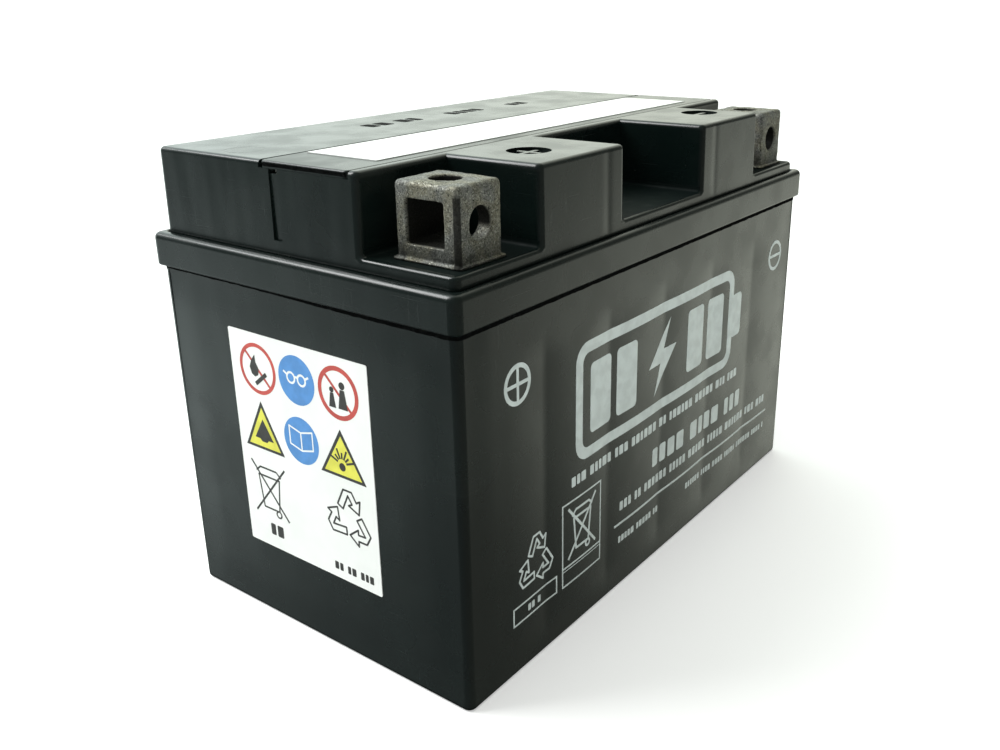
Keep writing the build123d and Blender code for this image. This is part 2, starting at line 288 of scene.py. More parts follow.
def shade_plastic(name, seed, specular=0.06):
    """Near-black plastic that gives back hardly any light: painted shade for the shadow lines and dark sunk
    marks it is used on.
    """
    s = Shader(name, ior=1.4, specular=specular)
    crumbs = s.noise(1.4, 4.0, seed=seed, rough=0.6)
    s.colour(s.mix(s.ramp(crumbs, 0.45, 0.75), (0.0016, 0.0018, 0.0018), (0.007, 0.008, 0.008)))
    s.roughness(s.ramp(crumbs, 0.3, 0.7, 0.85, 1.0))
    s.relief(s.times(crumbs, 0.08))
    return s.material


def container_sinks(s):
    """Upright ripples in the end faces, on top of the sunk skin."""
    end_face = s.math("GREATER_THAN", s.size(s.facing(0)), 0.9)
    return s.times(s.noise(0.10, 1.0, (0.2, 1.0, 0.3), 31), end_face, 0.10)


def lid_sinks(s):
    """Sink marks on the block fronts, and the round ejector marks on the rear plateau."""
    front = s.math("LESS_THAN", s.facing(1), -0.9)
    at = s.size(s.less(s.size(s.x), PITCH))
    marks = s.times(s.bell(at, 0.0, 1.3), front, -0.07)
    end = s.math("GREATER_THAN", s.size(s.facing(0)), 0.9)
    ripple = s.times(s.noise(0.14, 1.0, (0.2, 1.0, 0.25), 47), end, 0.16)
    top = s.math("GREATER_THAN", s.facing(2), 0.9)
    across = s.less(s.size(s.x), 65.5)
    along = s.less(s.y, 20.5)
    far = s.radius(across, along)
    ring = s.times(s.bell(far, 4.0, 0.25), top, -0.05)
    return s.add(marks, ripple, ring)


def cast_lead(name, seed):
    """Dull sand-grained lead: salt-and-pepper grain, pits and a yellow-grey bloom, with painted shade in its
    holes, at its foot and down one corner.
    """
    s = Shader(name, ior=1.5, metallic=0.55)
    flecks, glints, matt = s.channels(s.cells(4.2, seed)["Color"])
    bloom = s.ramp(s.noise(0.25, 3.0, seed=seed + 1), 0.35, 0.65)
    base = s.mix(bloom, (0.20, 0.205, 0.19), (0.22, 0.21, 0.155))
    base = s.mix(s.ramp(flecks, 0.30, 0.95, 0.0, 0.7), base, (0.035, 0.036, 0.030))
    bright = s.ramp(glints, 0.80, 0.97)
    base = s.mix(s.times(bright, 0.5), base, (0.45, 0.45, 0.39))
    dark_patches = s.ramp(s.noise(0.42, 4.0, seed=seed + 4, rough=0.65), 0.50, 0.66)
    # painted shade: the sides of each terminal darken towards its foot in the recess
    foot = s.times(s.ramp(s.z, 95.5, 90.5), s.ramp(s.facing(2), 0.6, 0.3), 0.6)
    base = s.mix(foot, base, (0.022, 0.023, 0.020))
    # the dark patches weigh more towards the bottom and less on upward faces
    low = s.add(s.ramp(s.z, 98.0, 88.5, 0.2, 0.9), s.ramp(s.facing(2), 0.3, 0.9, 0.0, -0.4))
    base = s.mix(s.most(s.times(dark_patches, low), 0.0), base, (0.018, 0.019, 0.016))
    depth = s.less(LID_HIGH.x, s.size(s.x))
    across = s.size(s.add(s.y, -TUNNEL.y))
    # painted shade inside the square nut hole through each terminal, the hole down from its top and the bolt
    # hole in its front
    hole_shade = s.times(s.ramp(across, 4.9, 4.7), s.within(s.z, 92.2, 100.9, 0.1), s.ramp(depth, 4.35, 5.1))
    round_x = s.less(s.size(s.x), TUNNEL.x)
    off_axis = s.radius(round_x, across)
    hole = s.times(s.ramp(off_axis, 3.5, 3.3), s.ramp(s.z, 103.75, 103.35))
    off_middle = s.less(s.z, TUNNEL.z)
    off_bolt = s.radius(round_x, off_middle)
    # painted shade fills the whole bolt hole on the far terminal and only its upper part on the near one
    upper = s.most(s.math("GREATER_THAN", s.x, 0.0), s.ramp(s.z, 94.9, 96.0))
    bolt = s.times(s.ramp(off_bolt, 3.6, 3.3), s.ramp(s.y, -38.6, -38.1), upper)
    hole_shade = s.most(hole_shade, s.most(hole, bolt))
    # painted shade: a dark line down one upright front corner of each terminal, below its top
    corner_x, corner_y = s.less(depth, LID_HIGH.x - 68.15), s.add(s.y, 38.55)
    corner = s.radius(corner_x, corner_y)
    edge = s.times(s.ramp(corner, 1.0, 0.7), s.ramp(s.z, 102.4, 101.6), 0.92)
    pits = s.ramp(s.noise(1.6, 2.0, seed=seed + 2), 0.36, 0.28)
    # painted shade in the holes and down the corner, together with the pits; it also turns down the
    # reflection there
    dark = s.most(s.most(s.times(hole_shade, 0.98), edge), pits)
    s.colour(s.mix(dark, base, (0.006, 0.006, 0.005)))
    s.put("Specular IOR Level", s.ramp(dark, 0.3, 1.0, 0.5, 0.12))
    s.put("Metallic", s.ramp(dark, 0.0, 1.0, 0.55, 0.0))
    s.roughness(s.add(0.50, s.times(matt, 0.22), s.times(bright, -0.16)))
    lumps = s.times(s.noise(2.4, 3.0, seed=seed + 3), 0.09)
    s.relief(s.add(s.times(glints, 0.030), lumps, s.times(pits, -0.08)))
    return s.material


def plain_lead(name, seed):
    """Smoother gravity-cast lead of the straps and bushes inside."""
    s = Shader(name, ior=1.5, metallic=0.8)
    cloud = s.noise(0.4, 4.0, seed=seed)
    s.colour(s.mix(s.ramp(cloud, 0.35, 0.65), (0.20, 0.21, 0.22), (0.34, 0.35, 0.36)))
    s.roughness(s.ramp(s.noise(1.1, 2.0, seed=seed + 1), 0.3, 0.7, 0.38, 0.62))
    s.relief(s.times(s.noise(0.9, 3.0, seed=seed + 2), 0.12))
    return s.material


def white_film(name, seed):
    """Glossy white label film, slightly uneven where it follows the plastic under it."""
    s = Shader(name, ior=1.45)
    cloud = s.noise(0.08, 3.0, seed=seed)
    base = s.mix(s.ramp(cloud, 0.3, 0.7), (0.78, 0.80, 0.775), (0.83, 0.845, 0.82))
    fibres = s.ramp(s.noise(1.6, 3.0, seed=seed + 1), 0.62, 0.74)
    specks = s.specks(0.25, 0.12, 0.12, seed + 2)
    base = s.mix(s.times(fibres, 0.08), base, (0.6, 0.61, 0.58))
    s.colour(s.mix(s.times(specks, 0.5), base, (0.3, 0.3, 0.28)))
    s.roughness(s.ramp(s.noise(0.5, 3.0, seed=seed + 3), 0.3, 0.7, 0.33, 0.48))
    swell = s.times(s.noise(0.12, 2.0, seed=seed + 4), 0.05)
    s.relief(s.add(swell, s.times(s.noise(2.0, 2.0, seed=seed + 5), 0.004)))
    return s.material


def ink(name, colour, seed, wear=0.25):
    """Printed ink: slightly uneven in strength, with pinholes and a dry edge here and there."""
    s = Shader(name, ior=1.45)
    cloud = s.ramp(s.noise(0.3, 3.0, seed=seed), 0.35, 0.65)
    thin = s.times(s.ramp(s.noise(2.6, 2.0, seed=seed + 1), 0.66, 0.76), wear)
    darker = [c * 0.86 for c in colour]
    base = s.mix(cloud, darker, colour)
    s.colour(s.mix(thin, base, [c * 0.45 for c in colour]))
    s.roughness(s.ramp(s.noise(0.8, 2.0, seed=seed + 2), 0.3, 0.7, 0.38, 0.55))
    s.relief(s.times(s.noise(1.5, 2.0, seed=seed + 3), 0.006))
    return s.material


def rubber(name, seed):
    """Black valve rubber with a grey bloom."""
    s = Shader(name, ior=1.5)
    bloom = s.ramp(s.noise(0.7, 4.0, seed=seed), 0.45, 0.7)
    s.colour(s.mix(s.times(bloom, 0.5), (0.018, 0.018, 0.018), (0.07, 0.07, 0.072)))
    s.roughness(s.ramp(bloom, 0.0, 1.0, 0.55, 0.8))
    s.relief(s.times(s.noise(3.0, 2.0, seed=seed + 1), 0.02))
    return s.material


def porous(name, seed):
    """Sintered white beads."""
    s = Shader(name, ior=1.45)
    beads = s.cells(5.0, seed)["Distance"]
    # greyer towards the edges of the beads, where the relief sinks: painted shade in the gaps between them
    s.colour(s.mix(s.ramp(beads, 0.2, 0.7), (0.80, 0.80, 0.77), (0.45, 0.45, 0.43)))
    s.roughness(s.ramp(beads, 0.0, 0.8, 0.7, 0.95))
    s.relief(s.times(beads, -0.08))
    return s.material


def resin(name, seed):
    """Poured red-brown epoxy with a few bubbles."""
    s = Shader(name, ior=1.52)
    bubbles = s.specks(1.2, 0.22, 0.3, seed)
    cloud = s.noise(0.4, 3.0, seed=seed + 1)
    base = s.mix(s.ramp(cloud, 0.3, 0.7), (0.085, 0.020, 0.014), (0.15, 0.045, 0.030))
    s.colour(s.mix(s.times(bubbles, 0.6), base, (0.25, 0.12, 0.09)))
    s.roughness(s.ramp(cloud, 0.3, 0.7, 0.12, 0.3))
    s.relief(s.add(s.times(bubbles, -0.12), s.times(cloud, 0.1)))
    return s.material


def pasted_grid(name, dark, light, seed):
    """Dried paste pressed into a lead grid whose wires just show."""
    s = Shader(name, ior=1.45, metallic=0.15)
    upright = s.size(s.math("WRAP", s.y, -3.5, 3.5))
    level = s.size(s.math("WRAP", s.z, -2.2, 2.2))
    wires = s.most(s.ramp(upright, 0.55, 0.25), s.ramp(level, 0.45, 0.2))
    crumbs = s.noise(1.8, 5.0, seed=seed, rough=0.65)
    base = s.mix(s.ramp(crumbs, 0.3, 0.7), dark, light)
    s.colour(s.mix(s.times(wires, 0.55), base, (0.26, 0.26, 0.27)))
    s.roughness(s.add(s.ramp(crumbs, 0.3, 0.7, 0.72, 0.92), s.times(wires, -0.2)))
    s.relief(s.add(s.times(crumbs, 0.18), s.times(wires, 0.12)))
    return s.material


def glass_mat(name, seed):
    """White glass-fibre mat, fine and directionless."""
    s = Shader(name, ior=1.4, specular=0.3)
    one = s.noise(1.0, 3.0, (5.0, 0.7, 5.0), seed)
    two = s.noise(1.0, 3.0, (5.0, 5.0, 0.7), seed + 1)
    fibres = s.most(one, two)
    s.colour(s.mix(s.ramp(fibres, 0.45, 0.7), (0.70, 0.71, 0.70), (0.88, 0.88, 0.86)))
    s.roughness(s.ramp(fibres, 0.4, 0.7, 0.85, 1.0))
    s.relief(s.times(fibres, 0.2))
    return s.material


# ---- how far the container's flat faces sank as they cooled ----
BAND_TOP = 70.5                     # where the creases over the cell walls fade out
CREASE_DEPTH = 0.28
BORDER_DEPTH = 0.09
RIM_LOW = 79.5                      # underside of the collar, and how round its outer edge is
RIM_ROUND = 0.55


def smooth_step(value, low, high):
    t = min(1.0, max(0.0, (value - low) / (high - low)))
    return t * t * (3 - 2 * t)


def case_sink(axis, p):
    """Depth of the skin below its flat face: creases over the cell walls, soft borders."""
    if axis == 1:
        wall = min(2, round(abs(p.x) / PITCH)) * PITCH
        away = math.sqrt((abs(p.x) - wall) ** 2 + 0.2) - 0.45
        top = BAND_TOP - 0.22 * abs(away)
        upright = 1 - smooth_step(p.z, top - 4.5, top + 2.5)
        crease = CREASE_DEPTH * max(0.0, 1 - away / (PITCH / 2)) ** 2 * upright * smooth_step(p.z, 2.0, 9.0)
        return crease + BORDER_DEPTH * smooth_step(abs(p.x), 64.0, 72.0)
    over = Vector((max(0.0, abs(p.y) - 32.0), max(0.0, p.z - 69.5, 10.0 - p.z)))
    return 1.8 * BORDER_DEPTH * smooth_step(over.length, 0.0, 9.5)


# ---- flat print ----
class Sheet:
    """A flat face that print lies on: u runs to the viewer's right and v up, in millimetres."""

    def __init__(self, origin, right, up, sunk=False):
        self.sunk = sunk
        self.origin = Vector(origin)
        self.right = Vector(right)
        self.up = Vector(up)
        self.out = self.right.cross(self.up)

    def at(self, u, v, height):
        place = self.origin + self.right * u + self.up * v
        depth = case_sink(1, place) if self.sunk else 0.0
        return (place + self.out * (height - depth)) * MM


FRONT = Sheet((0, BODY_FRONT, 0), (1, 0, 0), (0, 0, 1), sunk=True)
END = Sheet((LABEL_LOW.x, 0, 0), (0, -1, 0), (0, 0, 1))
TOP = Sheet((0, 0, LID_HIGH.z), (1, 0, 0), (0, 1, 0))
INK_THICK = 0.03
INK_SUNK = 0.01
SLICE = 1.1                         # width of the slices that let print follow a sunk face


def arc(u, v, radius, start=0.0, stop=360.0, step=7.5):
    """Points along an arc in degrees, both ends included unless it is a whole turn."""
    count = max(2, round(abs(stop - start) / step))
    whole = abs(stop - start) >= 360
    angles = [math.radians(start + (stop - start) * i / count) for i in range(count if whole else count + 1)]
    return [(u + radius * math.cos(a), v + radius * math.sin(a)) for a in angles]


def rectangle(u0, u1, v0, v1, corner=0.0):
    if corner <= 0:
        return [(u0, v0), (u1, v0), (u1, v1), (u0, v1)]
    centres = [(u1 - corner, v0 + corner, -90), (u1 - corner, v1 - corner, 0),
               (u0 + corner, v1 - corner, 90), (u0 + corner, v0 + corner, 180)]
    points = []
    for u, v, start in centres:
        points += arc(u, v, corner, start, start + 90, 15)
    return points


def ring(u, v, radius, width):
    """A ring, as two half rings."""
    inner, outer = radius - width / 2, radius + width / 2
    return [arc(u, v, outer, a, a + 180.0) + arc(u, v, inner, a + 180.0, a) for a in (0.0, 180.0)]


def bar(start, end, width):
    """A straight stroke with square ends."""
    a, b = Vector(start), Vector(end)
    side = (b - a).orthogonal().normalized() * (width / 2)
    return [tuple(a - side), tuple(b - side), tuple(b + side), tuple(a + side)]


def stroke(points, width, closed=False):
    """Straight strokes along a line of points, with round joints."""
    pairs = list(zip(points, points[1:] + points[:1] if closed else points[1:]))
    made = [bar(a, b, width) for a, b in pairs]
    joints = points if closed else points[1:-1]
    return made + [arc(u, v, width / 2, step=45) for u, v in joints]


def frame_outline(u0, u1, v0, v1, width):
    """A rectangular border, drawn as four bars."""
    half = width / 2
    level = [rectangle(u0 - half, u1 + half, v - half, v + half) for v in (v0, v1)]
    return level + [rectangle(u - half, u + half, v0, v1) for u in (u0, u1)]


def turned(shapes, u, v, degrees):
    """The same outlines, turned about a point."""
    c, s = math.cos(math.radians(degrees)), math.sin(math.radians(degrees))
    return [[(u + (p - u) * c - (q - v) * s, v + (p - u) * s + (q - v) * c) for p, q in shape]
            for shape in shapes]


def print_piece(name, sheet, shapes, material, cuts=(), base=0.0):
    """Thin closed film of ink over the union of some outlines, less the cuts."""
    points, faces = [], []
    for shape in list(shapes) + list(cuts):
        faces.append(list(range(len(points), len(points) + len(shape))))
        points += [Vector(p) for p in shape]
    slices = []
    if sheet.sunk:
        low, high = (limit(p.x for p in points) for limit in (min, max))
        bottom, top = (limit(p.y for p in points) for limit in (min, max))
        for i in range(1, int((high - low) / SLICE)):
            slices.append((len(points), len(points) + 1))
            points += [Vector((low + SLICE * i, bottom - 0.1)), Vector((low + SLICE * i, top + 0.1))]
    flat, _, triangles, _, _, sources = delaunay_2d_cdt(points, slices, faces, 1, 2e-3, True)
    kept = [t for t, source in zip(triangles, sources) if source and max(source) < len(shapes)]
    used = sorted({i for t in kept for i in t})
    order = {old: new for new, old in enumerate(used)}
    count = len(used)
    low = [sheet.at(*flat[i], base - INK_SUNK) for i in used]
    high = [sheet.at(*flat[i], base + INK_THICK) for i in used]
    top = [tuple(order[i] + count for i in t) for t in kept]
    bottom = [tuple(order[i] for i in reversed(t)) for t in kept]
    edges = {(order[a], order[b]): True for t in kept for a, b in zip(t, t[1:] + t[:1])}
    walls = [(a, b, b + count, a + count) for a, b in edges if (b, a) not in edges]
    mesh = bpy.data.meshes.new(name)
    mesh.from_pydata(low + high, [], bottom + top + walls)
    piece = placed(name, mesh, material)
    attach(piece, "case")


def words(u0, u1, v0, v1, seed, longest=6):
    """A line of short blocks that stands for a line of small print."""
    draw = random.Random(seed)
    height = v1 - v0
    made = []
    u = u0
    while u < u1:
        for _ in range(draw.randint(2, longest)):
            width = height * draw.uniform(0.45, 0.8)
            if u + width > u1:
                return made
            made.append(rectangle(u, u + width, v0, v1, height * 0.12))
            u += width + height * 0.22
        u += height * 0.55
    return made


def crossed_bin(u, v, size, width):
    """A wheeled bin with a cross over it, in a square of the given height."""
    s = size / 10

    def at(*points):
        return [(u + p * s, v + q * s) for p, q in points]

    shapes = stroke(at((-2.6, 2.4), (2.6, 2.4), (1.9, -3.6), (-1.9, -3.6)), width, closed=True)
    shapes += stroke(at((-3.1, 3.0), (-2.0, 3.9), (2.0, 3.9), (3.1, 3.0)), width)
    shapes += ring(*at((1.7, -4.2))[0], 0.6 * s, width)
    shapes += [bar(*at((-side, 4.8), (side, -4.9)), width * 1.15) for side in (4.2, -4.2)]
    return shapes


def three_arrows(u, v, size, width):
    """Three bent arrows that chase each other round a centre, in outline."""
    r = size / 2
    arrow = [(-0.52, 0.22), (-0.20, 0.84), (0.20, 0.84), (0.40, 0.50), (0.58, 0.60),
             (0.50, 0.08), (0.02, 0.29), (0.19, 0.38), (0.01, 0.66), (-0.27, 0.09)]
    outline = [(u + r * (0.02 + 0.84 * p), v + r * (0.19 + 0.84 * q)) for p, q in arrow]
    shapes = []
    for turn in (0, 120, 240):
        shapes += turned(stroke(outline, width, closed=True), u, v, turn)
    return shapes


# ---- what is moulded into the top and printed on the front ----
def top_marks(material):
    """Three groups of plain marks along the rear of the lid, laid on as thin dark films: painted shade in
    place of sunk moulded lettering.
    """
    marks = words(-25.5, -3.5, 23.6, 28.4, 31, 3) + words(4.5, 21.0, 23.8, 28.2, 35, 4)
    marks += words(30.0, 39.5, 23.8, 27.8, 37, 4)
    print_piece("lid_marks", TOP, marks, material)


def front_print(material):
    def put(name, shapes, cuts=()):
        print_piece("print_" + name, FRONT, shapes, material, cuts)

    plus = [bar((-60.2, 65.0), (-53.4, 65.0), 0.75), bar((-56.8, 61.6), (-56.8, 68.4), 0.75)]
    put("plus", ring(-56.8, 65.0, 3.8, 0.95) + plus)
    put("minus", ring(62.3, 64.4, 3.8, 0.95) + [bar((58.9, 64.4), (65.7, 64.4), 0.8)])
    outer = rectangle(-37.1, 36.8, 39.9, 66.7, 4.5)
    inner = rectangle(-34.5, 34.2, 42.4, 64.1, 2.2)
    bolt = [(3.1, 62.3), (-6.7, 51.8), (-1.1, 51.8), (-3.9, 44.2), (6.1, 55.1), (0.3, 55.1)]
    cells = [rectangle(u, u + 8.4, 45.2, 61.3, 1.2) for u in (-31.5, -20.8, 11.7, 22.6)]
    put("emblem_frame", [outer, rectangle(36.2, 41.9, 47.3, 59.2, 1.4)], [inner])
    put("emblem_cells", cells + [bolt])
    put("line_1", words(-38.5, 44.2, 35.1, 37.4, 3))
    put("line_2", words(-3.6, 48.3, 25.4, 30.2, 5, 4))
    put("line_3", words(-18.5, 63.6, 20.4, 22.7, 8))
    put("rule", [rectangle(-20.7, 63.7, 16.7, 17.3)])
    put("line_4", words(-18.8, 0.3, 11.9, 13.6, 12) + words(14.2, 63.8, 11.9, 13.6, 17))
    box = frame_outline(-41.8, -26.8, 12.0, 31.9, 0.4)
    box += [rectangle(-41.8, -26.8, 16.3, 16.7), rectangle(-41.8, -26.8, 15.6, 15.8)]
    put("bin", box + crossed_bin(-34.3, 24.3, 12.8, 0.55))
    tag = frame_outline(-59.3, -44.0, 12.1, 16.1, 0.4) + words(-54.3, -49.0, 13.3, 14.9, 21, 3)
    put("arrows", three_arrows(-51.2, 23.7, 13.8, 0.5) + tag)


def end_print(inks):
    """Plain pictograms of our own on the white label: two barred rings, two discs, two triangles."""
    def put(name, shapes, colour="black", cuts=(), base=0.0):
        print_piece("label_" + name, END, shapes, inks[colour], cuts, base)

    lens = [ring(-2.5 + 3.2 * i, 61.7, 1.15, 0.5) for i in (0, 1)]
    arms = (((-1.6, 62.1), (-0.2, 62.1)), ((-3.6, 62.2), (-4.7, 62.8)), ((1.8, 62.2), (2.9, 62.8)))
    goggles = lens[0] + lens[1] + [bar(*ends, 0.5) for ends in arms]
    put("disc_top", [arc(-0.9, 61.4, 5.4)], "blue", goggles)
    pages = [[(-1.1, 45.6), (u, 46.5), (u, 50.6), (-1.1, 49.7)] for u in (-4.6, 2.4)]
    book = stroke(pages[0], 0.4, closed=True) + stroke(pages[1], 0.4, closed=True)
    put("disc_middle", [arc(-1.1, 47.9, 5.3)], "blue", book)
    for name, u, v, radius, width in (("left", -13.0, 61.2, 5.3, 0.85), ("right", 11.3, 61.5, 5.2, 1.0)):
        reach = radius * 0.7
        slash = bar((u - reach, v + reach), (u + reach, v - reach), 0.6)
        put(f"ring_{name}", ring(u, v, radius, width) + [slash], "red")
    flame = [(-13.6, 64.3), (-14.8, 62.9), (-15.5, 61.3), (-15.0, 59.8), (-14.0, 59.3), (-13.0, 59.8),
             (-12.6, 61.1), (-13.1, 62.0), (-13.5, 62.7)]
    put("flame", [flame, bar((-14.0, 57.7), (-10.4, 60.5), 0.9)], base=INK_THICK / 2)
    pegs = []
    for u, v, scale in ((9.5, 60.3, 0.75), (12.5, 61.1, 1.0)):
        pegs.append(arc(u, v + 2.2 * scale, 0.8 * scale))
        body = ((-1.3, -2.8), (1.3, -2.8), (0.6, 1.3), (-0.6, 1.3))
        pegs.append([(u + p * scale, v + q * scale) for p, q in body])
    put("pegs", pegs, base=INK_THICK / 2)
    for name, u0, u1, low, high in (("left", -19.5, -7.0, 42.4, 53.8), ("right", 4.4, 17.5, 42.9, 53.7)):
        centre = (u0 + u1) / 2
        inside = [(u0 + 1.15, low + 0.65), (u1 - 1.15, low + 0.65), (centre, high - 1.5)]
        put(f"triangle_{name}", [[(u0, low), (u1, low), (centre, high)]], cuts=[inside])
        put(f"field_{name}", [inside], "yellow")
    drop = arc(-13.2, 47.2, 0.85, -205, 25) + [(-13.2, 49.6)]
    slab = [(-16.2, 44.9), (-14.6, 44.9), (-14.0, 44.3), (-12.4, 44.3), (-11.8, 44.9), (-10.2, 44.9),
            (-10.2, 43.7), (-16.2, 43.7)]
    put("drop", [drop, slab], base=INK_THICK)
    rays = []
    for i in range(7):
        a = math.radians(20 + 23 * i)
        ends = [(10.9 + far * math.cos(a), 45.9 + far * math.sin(a)) for far in (1.3, (3.6, 2.7)[i % 2])]
        rays.append(bar(*ends, 0.45))
    put("burst", rays + [arc(10.9, 45.4, 0.9)], base=INK_THICK)
    put("bin", crossed_bin(-13.2, 32.7, 13.0, 0.4))
    put("arrows", three_arrows(11.5, 33.8, 14.4, 0.42))
    put("line_1", words(-14.3, -9.8, 21.5, 24.3, 4, 2))
    put("line_2", words(6.1, 18.3, 20.3, 22.1, 6, 5))


# ---- the container's skin ----
class Skin:
    """One flat side of the container, refilled with a fine net so that it can sink a little."""

    def __init__(self, shape, axis, side, level, spacing):
        self.shape = shape
        self.axis = axis
        self.others = [k for k in range(3) if k != axis]
        self.faces = [f for f in shape.faces if f.normal[axis] * side > 0.9995 and all(
            abs(v.co[axis] * side / MM - level) < 0.05 and v.co.z / MM < RIM_LOW + 0.05 for v in f.verts)]
        self.normal = sum((f.normal * f.calc_area() for f in self.faces), Vector()).normalized()
        self.origin = self.faces[0].verts[0].co.copy()
        for edge in self.border():
            self.split(edge, 2 * spacing)
        self.refill(spacing)

    def border(self):
        own = set(self.faces)
        return [e for f in self.faces for e in f.edges if sum(g in own for g in e.link_faces) == 1]

    def split(self, edge, length):
        """Cuts an edge into equal parts of about one length."""
        start, end = edge.verts
        for left in range(int(edge.calc_length() / MM / length), 0, -1):
            start = bmesh.utils.edge_split(edge, start, 1 / (left + 1))[1]
            edge = next(e for e in start.link_edges if e.other_vert(start) is end)

    def flat(self, co):
        return Vector((co[self.others[0]], co[self.others[1]])) / MM

    def lifted(self, point):
        co = Vector((0, 0, 0))
        co[self.others[0]], co[self.others[1]] = point * MM
        co[self.axis] = self.origin[self.axis]
        co[self.axis] -= self.normal.dot(co - self.origin) / self.normal[self.axis]
        return co

    def refill(self, spacing):
        border = self.border()
        rim = list(dict.fromkeys(v for e in border for v in e.verts))
        index = {v: i for i, v in enumerate(rim)}
        points = [self.flat(v.co) for v in rim]
        ties = [(index[e.verts[0]], index[e.verts[1]]) for e in border]
        segments = [(points[a], points[b]) for a, b in ties]
        low = [min(p[k] for p in points) for k in (0, 1)]
        high = [max(p[k] for p in points) for k in (0, 1)]
        steps = [max(2, round((high[k] - low[k]) / (spacing, 2.4 * spacing)[k])) for k in (0, 1)]
        inner = []
        for i in range(1, steps[0]):
            for j in range(1, steps[1]):
                p = Vector([low[k] + (high[k] - low[k]) * n / steps[k] for k, n in ((0, i), (1, j))])
                if inside(p, segments) and clearance(p, segments) > 0.35 * spacing:
                    inner.append(p)
        flat, _, triangles, origins, _, _ = delaunay_2d_cdt(points + inner, ties, [], 0, 1e-4, True)
        verts = []
        for place, source in zip(flat, origins):
            old = [k for k in source if k < len(rim)]
            verts.append(rim[old[0]] if old else self.shape.verts.new(self.lifted(place)))
        bmesh.ops.delete(self.shape, geom=self.faces, context="FACES_ONLY")
        turn = (self.normal[self.axis] > 0) == (self.axis != 1)
        self.faces = []
        for t in triangles:
            if inside((flat[t[0]] + flat[t[1]] + flat[t[2]]) / 3, segments):
                self.faces.append(self.shape.faces.new([verts[i] for i in (t if turn else reversed(t))]))

    def normal_at(self, p):
        """Outward direction of the sunk skin at a point given in millimetres."""
        result = self.normal.copy()
        for k in self.others:
            step = Vector([0.15 * (k == n) for n in range(3)])
            result[k] += (case_sink(self.axis, p + step) - case_sink(self.axis, p - step)) / 0.3
        return result.normalized()


def inside(p, segments):
    crossings = 0
    for a, b in segments:
        if (a.y > p.y) != (b.y > p.y):
            crossings += p.x < a.x + (p.y - a.y) / (b.y - a.y) * (b.x - a.x)
    return crossings % 2 == 1


def clearance(p, segments):
    nearest = 1e9
    for a, b in segments:
        along = b - a
        t = min(1.0, max(0.0, (p - a).dot(along) / max(along.length_squared, 1e-12)))
        nearest = min(nearest, (p - a - along * t).length)
    return nearest


def rounded_rim(shape):
    """Rounds the collar's lower outer edge: a quarter-round drawn back into its side and underside."""
    layer = shape.loops.layers.float_vector["kept"]
    inner = Vector((CASE_HIGH.x - 2.0, CASE_HIGH.y - 2.0))
    outward = {}
    for vertex in shape.verts:
        p = vertex.co / MM
        held = Vector((min(inner.x, max(-inner.x, p.x)), min(inner.y, max(-inner.y, p.y))))
        if abs(p.z - RIM_LOW) < 0.02 and (p.xy - held).length > 1.95:
            outward[vertex] = Vector((*(p.xy - held).normalized(), 0))
    touched = dict.fromkeys(f for v in outward for f in v.link_faces)
    edges = []
    for face in touched:
        if abs(face.normal.z) < 0.5:
            edges += [(a.vert, a.link_loop_next.vert) for a in face.loops
                      if a.vert in outward and a.link_loop_next.vert in outward]
    turns = [math.radians(15 * i) for i in range(7)]
    rows = {}
    for vertex, out in outward.items():
        start = vertex.co.copy()
        rows[vertex] = [vertex]
        for a in turns[1:]:
            shift = out * (math.cos(a) - 1) + Vector((0, 0, 1 - math.sin(a)))
            rows[vertex].append(shape.verts.new(start + shift * (RIM_ROUND * MM)))
        vertex.co.z += RIM_ROUND * MM
    under = [f for f in touched if abs(f.normal.z) > 0.5]
    for face in under:
        kept = [Vector(loop[layer]) for loop in face.loops]
        made = shape.faces.new([rows[v][-1] if v in rows else v for v in face.verts])
        for loop, normal in zip(made.loops, kept):
            loop[layer] = normal
    bmesh.ops.delete(shape, geom=under, context="FACES_ONLY")
    for a, b in edges:
        for k in range(len(turns) - 1):
            made = shape.faces.new((rows[b][k], rows[a][k], rows[a][k + 1], rows[b][k + 1]))
            for loop, (source, turn) in zip(made.loops, ((b, k), (a, k), (a, k + 1), (b, k + 1))):
                loop[layer] = outward[source] * math.cos(turns[turn]) - Vector((0, 0, math.sin(turns[turn])))


def sunk_case(material):
    """The container with sunk flat sides; every other face keeps its own shading normals."""
    mesh = nodes["container"].data.copy()
    kept = mesh.attributes.new("kept", "FLOAT_VECTOR", "CORNER")
    kept.data.foreach_set("vector", [c for n in mesh.corner_normals for c in n.vector])
    shape = bmesh.new()
    shape.from_mesh(mesh)
    bmesh.ops.remove_doubles(shape, verts=shape.verts, dist=0.0005 * MM)
    rounded_rim(shape)
    levels = [(axis, side, level) for axis, level in ((1, -BODY_FRONT), (0, -LABEL_HIGH.x))
              for side in (-1, 1)]
    skins = [Skin(shape, *level, 1.0) for level in levels]
    layer = shape.loops.layers.float_vector["kept"]
    for skin in skins:
        for face in skin.faces:
            for loop in face.loops:
                loop[layer] = skin.normal_at(loop.vert.co / MM)
    for vertex in shape.verts:
        p = vertex.co / MM
        for axis, side, level in levels:
            if p[axis] * side > level - 0.06 and p.z < RIM_LOW - 0.05:
                vertex.co[axis] -= side * case_sink(axis, p) * MM
    bmesh.ops.delete(shape, geom=[e for e in shape.edges if not e.link_faces], context="EDGES")
    bmesh.ops.triangulate(shape, faces=shape.faces)
    shape.to_mesh(mesh)
    shape.free()
    normals = [tuple(item.vector) for item in mesh.attributes["kept"].data]
    mesh.attributes.remove(mesh.attributes["kept"])
    mesh.shade_smooth()
    mesh.normals_split_custom_set(normals)
    piece = placed("container_skin", mesh, material)
    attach(piece, "case")
    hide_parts("container")


# ---- cast terminals ----
CAST_VOXEL = 0.26
CAST_GRAIN = 0.045
CAST_LUMPS = 0.09


